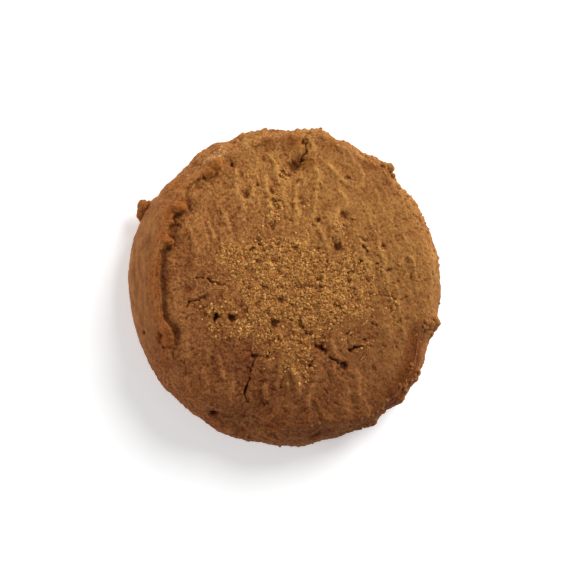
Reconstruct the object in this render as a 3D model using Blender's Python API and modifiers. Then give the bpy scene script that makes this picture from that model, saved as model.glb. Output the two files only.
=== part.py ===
"""Cocoa cookie: one round, domed biscuit with a leaning wall and a rough, dragged top.

The body is a turned profile whose wall, rim and dome are then pushed out of round by a few
named sizes: lobes and lumps, a raised roll along the left rim, drag ridges, cracks and pits.
Balls of dough that hang on its wall are fused to it, so that the cookie is one solid. It
stands on its flat base, with the origin under its centre.
"""
import math

import bmesh
import bpy
import numpy as np

MM = 0.001

# Turned profile
WIDEST_RADIUS = 25.85 * MM
WIDEST_HEIGHT = 3.0 * MM
BASE_RADIUS = 24.1 * MM
RIM_RADIUS = 23.9 * MM
RIM_HEIGHT = 10.0 * MM
RIM_ROUND = 1.3 * MM
DOME_HEIGHT = 13.4 * MM
FLAT_BASE = 0.05 * MM

# Fineness of the turned blank, and the triangles that are left after thinning it
TURN_STEPS = 232
DOME_STEPS = 50
ROUND_STEPS = 5
WALL_STEPS = 8
FOOT_STEPS = 5
BODY_TRIANGLES = 9800

# Outline out of round: (waves round the edge, depth, angle of a crest in degrees)
OUTLINE_LOBES = (
    (2, 0.06 * MM, 74.0),
    (3, 0.14 * MM, 74.0),
    (4, 0.16 * MM, 66.0),
    (5, 0.11 * MM, 17.0),
    (7, 0.11 * MM, 6.0),
)

# Bulges (and, below zero, dents) of the wall: (angle in degrees, half width in degrees, height)
WALL_BULGES = (
    (43.5, 3.0, -0.3 * MM),
    (61.0, 3.5, -0.4 * MM),
    (79.5, 4.5, 0.45 * MM),
    (90.5, 3.0, -0.3 * MM),
    (121.5, 5.0, 0.45 * MM),
    (150.5, 5.0, 0.25 * MM),
    (246.0, 6.0, 0.25 * MM),
    (276.0, 4.0, 0.25 * MM),
    (308.5, 3.0, -0.35 * MM),
    (339.0, 3.0, -0.35 * MM),
)

# Where the rim stands further in: (middle, half width, softness in degrees, inset)
RIM_INSETS = (
    (183.0, 25.0, 7.0, 0.75 * MM),
    (252.0, 7.0, 7.0, 1.4 * MM),
    (230.0, 8.0, 8.0, -0.8 * MM),
    (300.0, 12.0, 10.0, -1.1 * MM),
    (345.0, 18.0, 8.0, 0.95 * MM),
    (138.0, 4.0, 6.0, -0.6 * MM),
)

# Raised roll of dough along the left rim, leaning in over a groove
ROLL_FROM = 127.0
ROLL_TO = 208.0
ROLL_SOFTNESS = 4.0
ROLL_HEIGHT = 0.85 * MM
ROLL_LEAN = 0.5 * MM
ROLL_INNER_WIDTH = 0.95 * MM
ROLL_OUTER_WIDTH = 2.2 * MM
GROOVE_OFFSET = 1.8 * MM
GROOVE_WIDTH = 0.8 * MM
GROOVE_DEPTH = 0.4 * MM

# Lumps along the roll and the rim: (angle in degrees, half width in degrees, share of the roll)
RIM_LUMPS = (
    (91.0, 3.2, 0.5),
    (127.0, 4.5, 0.35),
    (139.5, 3.0, 0.25),
    (148.8, 2.6, 0.55),
    (156.5, 2.2, 0.35),
    (163.5, 2.6, 0.6),
    (200.5, 2.4, 0.3),
    (206.0, 2.6, 0.5),
)

# Low lip along the lower right rim
LIP_FROM = 309.0
LIP_TO = 343.0
LIP_SOFTNESS = 4.0
LIP_HEIGHT = 0.35 * MM
LIP_WIDTH = 0.8 * MM

# Ridges dragged across the top by the cutting wire
DRAG_SPACING = 1.35 * MM
DRAG_LENGTH = 8.0 * MM
DRAG_DEPTH = 0.16 * MM
DRAG_SLANT = 0.17
DRAG_FANNING = 0.009 / MM
DRAG_SEED = 3

# Torn, crumbly middle of the top, and the slow unevenness of the whole body
PATCH_CENTRE = (0.9 * MM, -1.0 * MM)
PATCH_SIZE = (12.5 * MM, 9.5 * MM)
PATCH_CRUMB = 1.1 * MM
PATCH_DEPTH = 0.2 * MM
PATCH_SEED = 11
SLOW_SPACING = 6.5 * MM
SLOW_DEPTH = 0.22 * MM
SLOW_SEED = 23

# Pits: (x, y, radius, depth)
PITS = (
    (-0.1 * MM, 18.6 * MM, 1.1 * MM, 1.1 * MM),
    (-13.8 * MM, 17.2 * MM, 1.0 * MM, 0.5 * MM),
    (-13.3 * MM, -5.5 * MM, 0.75 * MM, 0.7 * MM),
    (-11.0 * MM, -5.8 * MM, 0.7 * MM, 0.6 * MM),
    (7.3 * MM, -13.3 * MM, 0.75 * MM, 0.7 * MM),
    (7.6 * MM, 10.7 * MM, 0.7 * MM, 0.5 * MM),
    (-3.9 * MM, -6.6 * MM, 0.8 * MM, 0.5 * MM),
    (-13.6 * MM, -20.2 * MM, 0.85 * MM, 0.8 * MM),
)

# Cracks: runs of (x, y) in millimetres
CRACKS = (
    ((0.8, 21.6), (1.1, 20.7), (0.3, 19.2)),
    ((-16.5, 0.0), (-15.2, 0.1), (-14.2, -0.5), (-12.3, -1.6)),
    ((-18.1, -4.3), (-16.3, -3.2), (-14.8, -2.7)),
    ((-6.5, -11.3), (-7.3, -11.8), (-8.1, -14.4)),
    ((-8.1, -15.8), (-8.6, -18.5)),
    ((4.6, -11.9), (6.6, -13.1)),
    ((7.9, -11.1), (9.7, -10.1), (11.2, -9.4)),
)
CRACK_WIDTH = 0.42 * MM
CRACK_DEPTH = 0.55 * MM

# Lumps of dough that swell out of the wall: (angle in degrees, height, half width, push)
WALL_LUMPS = (
    (52.0, 8.0 * MM, 1.7 * MM, 0.6 * MM),
    (78.5, 8.2 * MM, 1.6 * MM, 0.5 * MM),
    (201.5, 9.0 * MM, 1.3 * MM, 0.3 * MM),
    (301.0, 6.2 * MM, 1.4 * MM, 0.7 * MM),
    (314.8, 6.4 * MM, 1.7 * MM, 0.75 * MM),
    (324.4, 6.4 * MM, 1.3 * MM, 0.65 * MM),
    (346.2, 6.0 * MM, 1.4 * MM, 1.0 * MM),
)

# Balls of dough that hang on the wall:
# (angle in degrees, height, radius, how far the middle stands out of the wall)
CRUMBS = (
    (151.4, 3.0 * MM, 1.05 * MM, 0.75 * MM),
    (150.6, 2.8 * MM, 1.0 * MM, 0.05 * MM),
    (156.2, 2.3 * MM, 0.65 * MM, 0.4 * MM),
    (50.3, 8.3 * MM, 0.9 * MM, 0.15 * MM),
    (47.2, 7.6 * MM, 0.5 * MM, 0.2 * MM),
)
CRUMB_LUMPINESS = 0.12
CRUMB_SEED = 5

COOKIE_COLOUR = (0.246, 0.097, 0.028, 1.0)
COOKIE_ROUGHNESS = 0.82


def clear_scene():
    """Empty the scene of every object that it starts with."""
    for thing in list(bpy.data.objects):
        bpy.data.objects.remove(thing, do_unlink=True)


def cookie_material():
    """Matt brown baked dough."""
    material = bpy.data.materials.new("baked_cocoa_dough")
    material.use_nodes = True
    shader = material.node_tree.nodes["Principled BSDF"]
    shader.inputs["Base Color"].default_value = COOKIE_COLOUR
    shader.inputs["Roughness"].default_value = COOKIE_ROUGHNESS
    shader.inputs["Metallic"].default_value = 0.0
    return material


def smooth_step(value, low, high):
    """0 below low, 1 above high, and an S curve between them."""
    share = np.clip((value - low) / (high - low), 0.0, 1.0)
    return share * share * (3.0 - 2.0 * share)


def angle_between(angle, centre):
    """Signed turn in degrees from centre to angle, between -180 and 180."""
    return (angle - centre + 180.0) % 360.0 - 180.0


def stretch_of_rim(angle, centre, half_width, softness):
    """1 on a stretch of the rim, fading to 0 over the softness at both of its ends."""
    away = np.abs(angle_between(angle, centre))
    return 1.0 - smooth_step(away, half_width - softness, half_width + softness)


def lattice_value(column, row, layer, seed):
    """Repeatable value from -1 to 1 for each whole-numbered lattice point."""
    mixed = (column * 374761393 + row * 668265263 + layer * 1274126177 + seed * 97531) & 0xFFFFFFFF
    mixed = ((mixed ^ (mixed >> 13)) * 1103515245) & 0xFFFFFFFF
    return (mixed ^ (mixed >> 16)) / 2147483648.0 - 1.0


def lattice_noise(x, y, z, seed):
    """Smooth noise from about -1 to 1, one bump for each unit of x, y and z."""
    corner = [np.floor(part).astype(np.int64) for part in (x, y, z)]
    share = [part - floor for part, floor in zip((x, y, z), corner)]
    share = [part * part * (3.0 - 2.0 * part) for part in share]
    total = np.zeros_like(share[0])
    for step in np.ndindex(2, 2, 2):
        weight = np.ones_like(total)
        for axis in range(3):
            weight = weight * (share[axis] if step[axis] else 1.0 - share[axis])
        total += weight * lattice_value(*(corner[axis] + step[axis] for axis in range(3)), seed)
    return total


def profile_points():
    """Right half of the section, from the top of the dome down its outer side to the base."""
    edge_radius = RIM_RADIUS - RIM_ROUND
    points = []
    for step in range(DOME_STEPS):
        radius = edge_radius * step / DOME_STEPS
        share = radius / edge_radius
        points.append((radius, RIM_HEIGHT + (DOME_HEIGHT - RIM_HEIGHT) * (1.0 - share * share)))
    dome_slope = math.atan(2.0 * (DOME_HEIGHT - RIM_HEIGHT) / edge_radius)
    for step in range(ROUND_STEPS):
        turn = dome_slope + (0.5 * math.pi - dome_slope) * step / ROUND_STEPS
        out = edge_radius + RIM_ROUND * (math.sin(turn) - math.sin(dome_slope))
        points.append((out, RIM_HEIGHT - RIM_ROUND * (math.cos(dome_slope) - math.cos(turn))))
    shoulder_radius, shoulder_height = points[-1]
    for step in range(1, WALL_STEPS + 1):
        share = step / WALL_STEPS
        bulge = math.sin(0.5 * math.pi * share)
        radius = shoulder_radius + (WIDEST_RADIUS - shoulder_radius) * bulge
        points.append((radius, shoulder_height + (WIDEST_HEIGHT - shoulder_height) * share))
    for step in range(1, FOOT_STEPS + 1):
        turn = 0.5 * math.pi * step / FOOT_STEPS
        radius = BASE_RADIUS + (WIDEST_RADIUS - BASE_RADIUS) * math.cos(turn)
        points.append((radius, WIDEST_HEIGHT * (1.0 - math.sin(turn))))
    points.append((0.0, 0.0))
    return points


def turned_blank(collection):
    """Mesh object of the profile turned once round the Z axis."""
    points = profile_points()
    mesh = bpy.data.meshes.new("cookie")
    edges = [(index, index + 1) for index in range(len(points) - 1)]
    mesh.from_pydata([(radius, 0.0, height) for radius, height in points], edges, [])
    blank = bpy.data.objects.new("cookie", mesh)
    collection.objects.link(blank)
    screw = blank.modifiers.new("turn", "SCREW")
    screw.steps = TURN_STEPS
    screw.render_steps = TURN_STEPS
    screw.use_merge_vertices = True
    screw.merge_threshold = 0.00001
    apply_modifiers(blank)
    return blank


def apply_modifiers(thing):
    """Replace the object's mesh by the one that its modifiers make, and drop them."""
    graph = bpy.context.evaluated_depsgraph_get()
    finished = bpy.data.meshes.new_from_object(thing.evaluated_get(graph))
    thing.modifiers.clear()
    thing.data = finished
    finished.name = thing.name


def outline_offset(angle):
    """How far the wall stands outside its mean radius at each angle in degrees."""
    offset = np.zeros_like(angle)
    for waves, depth, crest in OUTLINE_LOBES:
        offset += depth * np.cos(np.radians(waves * (angle - crest)))
    for centre, half_width, height in WALL_BULGES:
        offset += height * np.exp(-(angle_between(angle, centre) / half_width) ** 2)
    return offset


def rim_offset(angle):
    """How far the rim stands outside its mean radius at each angle in degrees."""
    offset = outline_offset(angle)
    for centre, half_width, softness, inset in RIM_INSETS:
        offset -= inset * stretch_of_rim(angle, centre, half_width, softness)
    return offset


def roll_share(angle):
    """Height of the left roll along its length as a share of its full height, with its lumps."""
    centre = 0.5 * (ROLL_FROM + ROLL_TO)
    share = stretch_of_rim(angle, centre, 0.5 * (ROLL_TO - ROLL_FROM), ROLL_SOFTNESS)
    for middle, half_width, more in RIM_LUMPS:
        share += more * np.exp(-(angle_between(angle, middle) / half_width) ** 2)
    return share


def lip_share(angle):
    """Height of the lower right lip along its length, from 0 to 1."""
    centre = 0.5 * (LIP_FROM + LIP_TO)
    return stretch_of_rim(angle, centre, 0.5 * (LIP_TO - LIP_FROM), LIP_SOFTNESS)


def wall_lumps(angle, height):
    """How far the lumps push the wall out at an angle and a height."""
    push = np.zeros_like(angle)
    for middle, lump_height, half_width, lump_push in WALL_LUMPS:
        along = np.radians(angle_between(angle, middle)) * WIDEST_RADIUS
        away = np.hypot(along, height - lump_height) / half_width
        push += lump_push * np.exp(-away ** 2)
    return push


def push_out_of_round(radius, angle, height):
    """New radius of the blank's points, moved to the uneven outline."""
    outward = smooth_step(radius, 0.45 * RIM_RADIUS, RIM_RADIUS - RIM_ROUND)
    down_wall = smooth_step(RIM_HEIGHT - height, 0.6 * RIM_ROUND, RIM_HEIGHT - WIDEST_HEIGHT)
    outer = radius > RIM_RADIUS - RIM_ROUND
    down_wall = np.where(outer, down_wall, 0.0)
    under = (height < FLAT_BASE) & (radius < 0.5 * BASE_RADIUS)
    offset = outward * rim_offset(angle) * (1.0 - down_wall) + down_wall * outline_offset(angle)
    offset += outward * wall_lumps(angle, height)
    return radius + np.where(under, 0.0, offset)


def raise_rim(radius, angle, height):
    """Add the left roll, its groove and the lower right lip at the rim."""
    crest_radius = RIM_RADIUS - 0.5 * RIM_ROUND + rim_offset(angle)
    across = radius - crest_radius
    across = np.where(across > 0.0, across + np.maximum(RIM_HEIGHT - height, 0.0), across)
    across = np.where(height < 0.5 * WIDEST_HEIGHT, WIDEST_RADIUS, across)
    width = np.where(across < 0.0, ROLL_INNER_WIDTH, ROLL_OUTER_WIDTH)
    roll = roll_share(angle) * np.exp(-np.abs(across / width) ** 3)
    groove = roll_share(angle) * np.exp(-((across + GROOVE_OFFSET) / GROOVE_WIDTH) ** 2)
    lip = lip_share(angle) * np.exp(-(across / LIP_WIDTH) ** 2)
    height = height + ROLL_HEIGHT * roll - GROOVE_DEPTH * groove + LIP_HEIGHT * lip
    return radius - ROLL_LEAN * roll, height


def drag_ridges(x, y):
    """Long low ridges, nearly along Y, that fan out towards the right."""
    across = x + y * (DRAG_SLANT + DRAG_FANNING * x)
    return lattice_noise(across / DRAG_SPACING, y / DRAG_LENGTH, np.zeros_like(x), DRAG_SEED)


def torn_patch(x, y):
    """Crumbly relief in the torn middle, fading out at its edge."""
    away = np.hypot((x - PATCH_CENTRE[0]) / PATCH_SIZE[0], (y - PATCH_CENTRE[1]) / PATCH_SIZE[1])
    inside = 1.0 - smooth_step(away, 0.7, 1.15)
    return inside * lattice_noise(x / PATCH_CRUMB, y / PATCH_CRUMB, np.zeros_like(x), PATCH_SEED)


def distance_to_run(x, y, run):
    """Distance from each point to a run of straight stretches given in millimetres."""
    nearest = np.full_like(x, math.inf)
    for start, end in zip(run, run[1:]):
        along_x = (end[0] - start[0]) * MM
        along_y = (end[1] - start[1]) * MM
        from_x = x - start[0] * MM
        from_y = y - start[1] * MM
        share = (from_x * along_x + from_y * along_y) / (along_x ** 2 + along_y ** 2)
        share = np.clip(share, 0.0, 1.0)
        nearest = np.minimum(nearest, np.hypot(from_x - share * along_x, from_y - share * along_y))
    return nearest


def hollows(x, y):
    """Depth of the pits and cracks below the top."""
    depth = np.zeros_like(x)
    for pit_x, pit_y, pit_radius, pit_depth in PITS:
        away = np.hypot(x - pit_x, y - pit_y) / pit_radius
        depth = np.maximum(depth, pit_depth * np.exp(-away ** 2))
    for run in CRACKS:
        away = distance_to_run(x, y, run) / CRACK_WIDTH
        depth = np.maximum(depth, CRACK_DEPTH * np.exp(-away ** 2))
    return depth


def shape_body(body):
    """Give the turned blank the cookie's uneven form."""
    mesh = body.data
    points = np.empty(len(mesh.vertices) * 3)
    mesh.vertices.foreach_get("co", points)
    points = points.reshape(-1, 3)
    radius = np.hypot(points[:, 0], points[:, 1])
    angle = np.degrees(np.arctan2(points[:, 1], points[:, 0])) % 360.0
    height = points[:, 2]
    on_base = height < FLAT_BASE
    radius = push_out_of_round(radius, angle, height)
    radius, height = raise_rim(radius, angle, height)
    x = radius * np.cos(np.radians(angle))
    y = radius * np.sin(np.radians(angle))
    on_top = smooth_step(height, RIM_HEIGHT - 2.0 * RIM_ROUND, RIM_HEIGHT)
    slow = lattice_noise(x / SLOW_SPACING, y / SLOW_SPACING, height / SLOW_SPACING, SLOW_SEED)
    relief = DRAG_DEPTH * drag_ridges(x, y) + PATCH_DEPTH * torn_patch(x, y) - hollows(x, y)
    height = height + np.where(on_base, 0.0, on_top * (relief + SLOW_DEPTH * slow))
    swell = np.where(on_base, 0.0, (1.0 - on_top) * SLOW_DEPTH * slow)
    points = np.column_stack((x + swell * np.cos(np.radians(angle)),
                              y + swell * np.sin(np.radians(angle)), height))
    mesh.vertices.foreach_set("co", points.ravel())
    mesh.update()


def thin_out(body):
    """Keep the triangles where the surface bends and drop them where it is flat."""
    mesh = body.data
    builder = bmesh.new()
    builder.from_mesh(mesh)
    bmesh.ops.triangulate(builder, faces=builder.faces)
    triangles = len(builder.faces)
    builder.to_mesh(mesh)
    builder.free()
    thinning = body.modifiers.new("thinning", "DECIMATE")
    thinning.ratio = BODY_TRIANGLES / triangles
    apply_modifiers(body)


def wall_radius(angle, height):
    """Distance of the wall's surface from the middle at an angle and a height."""
    points = [point for point in profile_points() if point[0] > RIM_RADIUS - 1.01 * RIM_ROUND]
    heights = [point[1] for point in reversed(points)]
    radii = [point[0] for point in reversed(points)]
    plain = np.array([np.interp(height, heights, radii)])
    return float(push_out_of_round(plain, np.array([angle]), np.array([height]))[0])


def dough_crumb(collection, number, angle, height, size, stand_out):
    """Lumpy ball of dough whose middle stands out of the wall by the given distance."""
    bpy.ops.mesh.primitive_ico_sphere_add(subdivisions=2, radius=size)
    crumb = bpy.context.object
    crumb.name = f"crumb_{number}"
    for owner in list(crumb.users_collection):
        owner.objects.unlink(crumb)
    collection.objects.link(crumb)
    turn = math.radians(angle)
    distance = wall_radius(angle, height) + stand_out
    crumb.location = (distance * math.cos(turn), distance * math.sin(turn), height)
    rng = np.random.default_rng(CRUMB_SEED + number)
    for vertex in crumb.data.vertices:
        vertex.co *= 1.0 + CRUMB_LUMPINESS * rng.uniform(-1.0, 1.0)


def fuse(body, crumbs):
    """Join the crumbs to the body with one union, and remove them."""
    union = body.modifiers.new("fused crumbs", "BOOLEAN")
    union.operation = "UNION"
    union.operand_type = "COLLECTION"
    union.collection = crumbs
    union.solver = "EXACT"
    apply_modifiers(body)
    for crumb in list(crumbs.objects):
        bpy.data.objects.remove(crumb, do_unlink=True)
    bpy.data.collections.remove(crumbs)


def stand_on_origin(body):
    """Move the mesh so that the middle of its box stands over the origin, its base at 0."""
    points = np.array([vertex.co for vertex in body.data.vertices])
    middle = 0.5 * (points.min(axis=0) + points.max(axis=0))
    middle[2] = points[:, 2].min()
    body.data.vertices.foreach_set("co", (points - middle).ravel())
    body.data.update()


def build_cookie():
    """The whole cookie as one solid in a collection of its own."""
    parts = bpy.data.collections.new("cocoa_cookie")
    crumbs = bpy.data.collections.new("crumbs")
    bpy.context.scene.collection.children.link(parts)
    bpy.context.scene.collection.children.link(crumbs)
    cookie = turned_blank(parts)
    shape_body(cookie)
    thin_out(cookie)
    for number, sizes in enumerate(CRUMBS):
        dough_crumb(crumbs, number, *sizes)
    fuse(cookie, crumbs)
    stand_on_origin(cookie)
    cookie.data.materials.clear()
    cookie.data.materials.append(cookie_material())
    cookie.data.shade_smooth()


clear_scene()
build_cookie()
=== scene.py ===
import math
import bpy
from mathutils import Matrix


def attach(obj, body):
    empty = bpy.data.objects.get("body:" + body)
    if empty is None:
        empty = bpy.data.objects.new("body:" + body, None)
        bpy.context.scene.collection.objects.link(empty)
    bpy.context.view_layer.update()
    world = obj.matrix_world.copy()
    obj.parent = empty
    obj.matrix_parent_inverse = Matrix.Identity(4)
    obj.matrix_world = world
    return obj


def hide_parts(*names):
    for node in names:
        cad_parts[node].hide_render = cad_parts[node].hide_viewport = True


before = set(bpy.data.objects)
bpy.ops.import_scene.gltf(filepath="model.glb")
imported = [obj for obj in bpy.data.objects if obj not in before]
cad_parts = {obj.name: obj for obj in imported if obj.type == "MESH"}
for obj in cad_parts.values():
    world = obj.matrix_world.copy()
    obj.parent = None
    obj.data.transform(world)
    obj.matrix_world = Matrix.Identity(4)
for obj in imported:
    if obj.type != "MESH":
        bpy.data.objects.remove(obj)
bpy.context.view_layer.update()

from types import SimpleNamespace

import bpy
import numpy as np
from mathutils import Matrix, Vector

# The cocoa cookie as baked: one closed skin with its dragged crust, open crumb, cracks and pits,
# and the loose-grained crumb that sits in it. Sizes are in millimetres, angles in degrees.
MM = 0.001

# Turned profile, the same as the solid's
WIDEST_RADIUS, WIDEST_HEIGHT, BASE_RADIUS = 25.85, 3.0, 24.1
RIM_RADIUS, RIM_HEIGHT, RIM_ROUND, DOME_HEIGHT = 23.9, 10.0, 1.3, 13.4
FLAT_BASE = 0.05
CENTRE_SHIFT = (0.053, -0.060)

# Spacing of the skin's points on the top, the rim's round, the wall, the foot and the base, and
# the turn of each ring of points against the last
TOP_CELL, ROUND_CELL, WALL_CELL, FOOT_CELL, BASE_CELL = 0.164, 0.165, 0.22, 0.32, 1.2
GOLDEN_SHARE = 0.618034

# Outline: (waves, depth, crest angle) of its lobes, (angle, half width, push) of its bulges and
# of its small swellings and dents
OUTLINE_LOBES = (
    (2, 0.06, 74), (3, 0.14, 74), (4, 0.16, 66), (5, 0.11, 17), (7, 0.11, 6),
)
WALL_BULGES = (
    (43.5, 3, -0.3), (61, 3.5, -0.4), (79.5, 4.5, 0.45), (90.5, 3, -0.3), (121.5, 5, 0.45),
    (150.5, 5, 0.25), (246, 6, 0.25), (276, 4, 0.25), (308.5, 3, -0.35), (339, 3, -0.35),
)
SIDE_SWELLS = (
    (28, 3, -0.2), (41, 4, -0.38), (51, 3, 0.3), (63, 4, -0.2), (72, 3, -0.55), (84, 2, -0.25),
    (112.5, 3, -0.35), (118, 2.5, 0.3), (126, 2.5, 0.3), (137, 5, -0.3), (146, 2, -0.4),
    (180, 5, 0.2), (217, 5, 0.2), (235, 7, -0.2), (261, 4, -0.3), (282, 4, -0.2), (304, 4, -0.1),
    (325, 4, 0.15), (336, 3, -0.3), (346, 3, 0.05),
)

# Where the rim stands in from the wall: (angle, half width, softness, inset)
RIM_INSETS = (
    (183, 25, 7, 0.75), (252, 7, 7, 1.4), (230, 8, 8, -0.8), (300, 12, 10, -1.1),
    (345, 18, 8, 0.95), (138, 4, 6, -0.6),
)

# Lumps on the wall: (angle, height, half width, push)
WALL_LUMPS = (
    (52, 8, 1.7, 0.6), (78.5, 8.2, 1.6, 0.5), (201.5, 9, 1.3, 0.3), (301, 6.2, 1.4, 0.7),
    (314.8, 6.4, 1.7, 0.75), (324.4, 6.4, 1.3, 0.65), (346.2, 6, 1.4, 1),
)

# Small holes in the side: (angle, height, radius, depth)
WALL_HOLES = (
    (198.8, 5.2, 0.3, 0.6), (238.6, 7.4, 0.65, 0.9),
)

# Rim, with its roll and groove on the left and its lip at the lower right
ROLL_HEIGHT, ROLL_LEAN, ROLL_OUTER_WIDTH = 0.95, 0.2, 2.1
GROOVE_WIDTH, GROOVE_DEPTH = 1.1, 0.35
RIM_SOFTENING, RIM_SOFT_WIDTH = 0.3, 1.5
LIP_HEIGHT, LIP_WIDTH, LIP_OUT = 0.12, 0.8, 0.8

# Stretches of the rim and wall: (angle, half width, softness)
LIP_STRETCH, SMOOTH_SIDE, RUFFLED_SIDE = (326, 17, 8), (180, 28, 12), (245, 45, 20)
# The far edge and the lower-left wall are where painted shade darkens the dough
FAR_EDGE, LOWER_LEFT = (75, 40, 15), (222, 18, 12)

# Left roll: (angle, inner edge, outer edge, height, groove), its edges measured outwards from the
# rim's crest, its height and its groove's depth as shares of the full ones
ROLL_STATIONS = (
    (118, -0.6, 0.7, 0, 0), (122.6, -1, 0.8, 0.4, 0.1), (125, -1.6, 0.9, 0.6, 0.15),
    (128.5, -1.2, 1, 0.7, 0.15), (131.5, -0.6, 1, 0.5, 0.1), (134, -0.6, 1.3, 0.7, 0.1),
    (138.5, -0.4, 1.7, 0.7, 0.2), (142.5, -0.4, 1.9, 0.65, 0.3), (146, -1.1, 1.8, 0.8, 0.6),
    (148.2, -2.4, 1.4, 1.05, 1), (150, -2, 0.9, 0.9, 1), (152.2, -1.5, 0.5, 0.75, 1),
    (154.6, -1.2, 0.3, 0.7, 1), (156.1, -1.8, 0.2, 0.95, 1), (158, -1.1, 0.4, 0.8, 1),
    (160.6, -0.9, 0.7, 0.85, 1), (162.8, -1.4, 0.8, 1.05, 1), (165.3, -1.5, 0.8, 1.15, 1),
    (167.5, -0.9, 0.9, 0.9, 1), (170, -0.6, 1.1, 0.85, 1), (174, -0.6, 1.3, 0.85, 1),
    (180, -0.7, 1.4, 0.85, 1), (186, -0.5, 1.6, 0.8, 1), (191, -0.2, 1.6, 0.75, 1),
    (195, -0.05, 1.4, 0.75, 1), (198, -0.3, 1.1, 0.8, 1.2), (201, -0.8, 1.2, 1, 1.4),
    (204.5, -0.8, 1.2, 1, 1.4), (207.5, -0.4, 1.3, 0.7, 0.9), (210.5, 0, 1.2, 0.3, 0.3),
    (214, 0, 1, 0, 0),
)

# Stretches of the wall that are crumbly: (angle, half width, strength)
CRUMBLY_SIDES = (
    (10, 12, 0.3), (30, 14, 0.6), (52, 12, 0.9), (78, 12, 0.9), (102, 10, 0.7), (126, 10, 0.6),
    (235, 14, 0.1), (258, 14, 0.2), (282, 12, 0.35), (300, 10, 0.7), (322, 12, 0.8), (345, 6, 1),
)

# Drag of the dough, and the slow swells under it
DRAG_SPACING, DRAG_LENGTH, DRAG_DEPTH, DRAG_SEED = 1.35, 8.0, 0.16, 3
DRAG_SLANT, DRAG_FANNING = 0.17, 0.009
SLOW_SPACING, SLOW_DEPTH, SLOW_SEED = 6.5, 0.22, 23

# Layers of noise: (height, seed, size)
WARP_X, WARP_Y = ((0.5, 31, 1.7), (0.18, 33, 0.6)), ((0.5, 32, 1.7), (0.18, 34, 0.6))
JAG_X, JAG_Y = ((0.3, 47, 0.45), (0.35, 48, 1.3)), ((0.3, 49, 0.45), (0.35, 50, 1.3))
TORN_EDGE = ((0.22, 41, 2.6), (0.16, 42, 0.9))
SWELLS = ((1.0, 35, (1.5, 2.4)), (0.6, 36, (0.8, 1.1)))
CLUMPS = ((1.0, 45, 1.4), (0.6, 46, 0.7))
GRAIN = ((1.0, 51, 0.25), (0.8, 52, 0.5))

# Heights of the parts of the crust, of the open crumb, and of the wall on each of its stretches
CRUST_HEIGHTS = {"swells": 0.06, "facets": 0.03, "trails": 0.18, "cobbles": 0.045, "pocks": -0.09,
                 "pillows": 0.16}
CRUMB_HEIGHTS = {"grains": 0.16, "fine grains": 0.08, "clumps": 0.12, "curls": 0.08, "voids": -0.32}
WALL_HEIGHTS = {
    "all round": {"streaks": 0.035, "pores": 0.014, "weave": 0.015, "web": 0.02, "small": 0.03},
    "rough side": {"pores": 0.02, "weave": 0.02, "fine web": 0.03, "web": 0.03, "coarse": 0.04,
                   "broad": 0.08, "pits": -0.06},
    "crumbly": {"knobs": 0.3, "small knobs": 0.12, "level": -0.3},
    "foot": {"coarse": 0.05, "small": 0.05},
    "ruffled": {"ruffles": 0.09},
}

# Half widths of a ridge's two sides and of a seam, and what a crack's is widened by; pillowed part
# of the top: (x, y, half width, half depth); how far the points of cells and knobs stray
RIDGE_WIDTHS, SEAM_WIDTH, CRACK_SPREAD = (0.42, 0.28), 0.11, 0.04
PILLOWED = (11.5, 2.0, 6.5, 7.0)
CELL_JITTER, KNOB_JITTER = 0.42, 0.4

# Torn middle of the top: (x, y, half width, half depth, strength) of its clusters of crumb
CRUMB_CLUSTERS = (
    (-0.7, -1.2, 12, 8, 0.8), (-6, 3.6, 5, 3.2, 1), (-3.9, 11, 1.4, 3.4, 1),
    (0.8, -7.4, 3.2, 4, 1), (0, -12, 3.2, 4.6, 0.26), (3.6, 0.6, 5, 3.6, 0.95),
    (-9.4, -6.2, 5.6, 4.4, 0.42), (8.6, -3.6, 4, 3.2, 0.5), (-9.6, 3.6, 4, 3.8, 0.85),
    (-4.5, -9, 5, 3, 0.45), (8, 2.5, 4, 3, 0.5), (0, -1, 16, 13, 0.16), (-2, 16.8, 1.4, 0.8, 0.7),
    (6.5, 8.6, 1, 1.2, 0.6),
)

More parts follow.
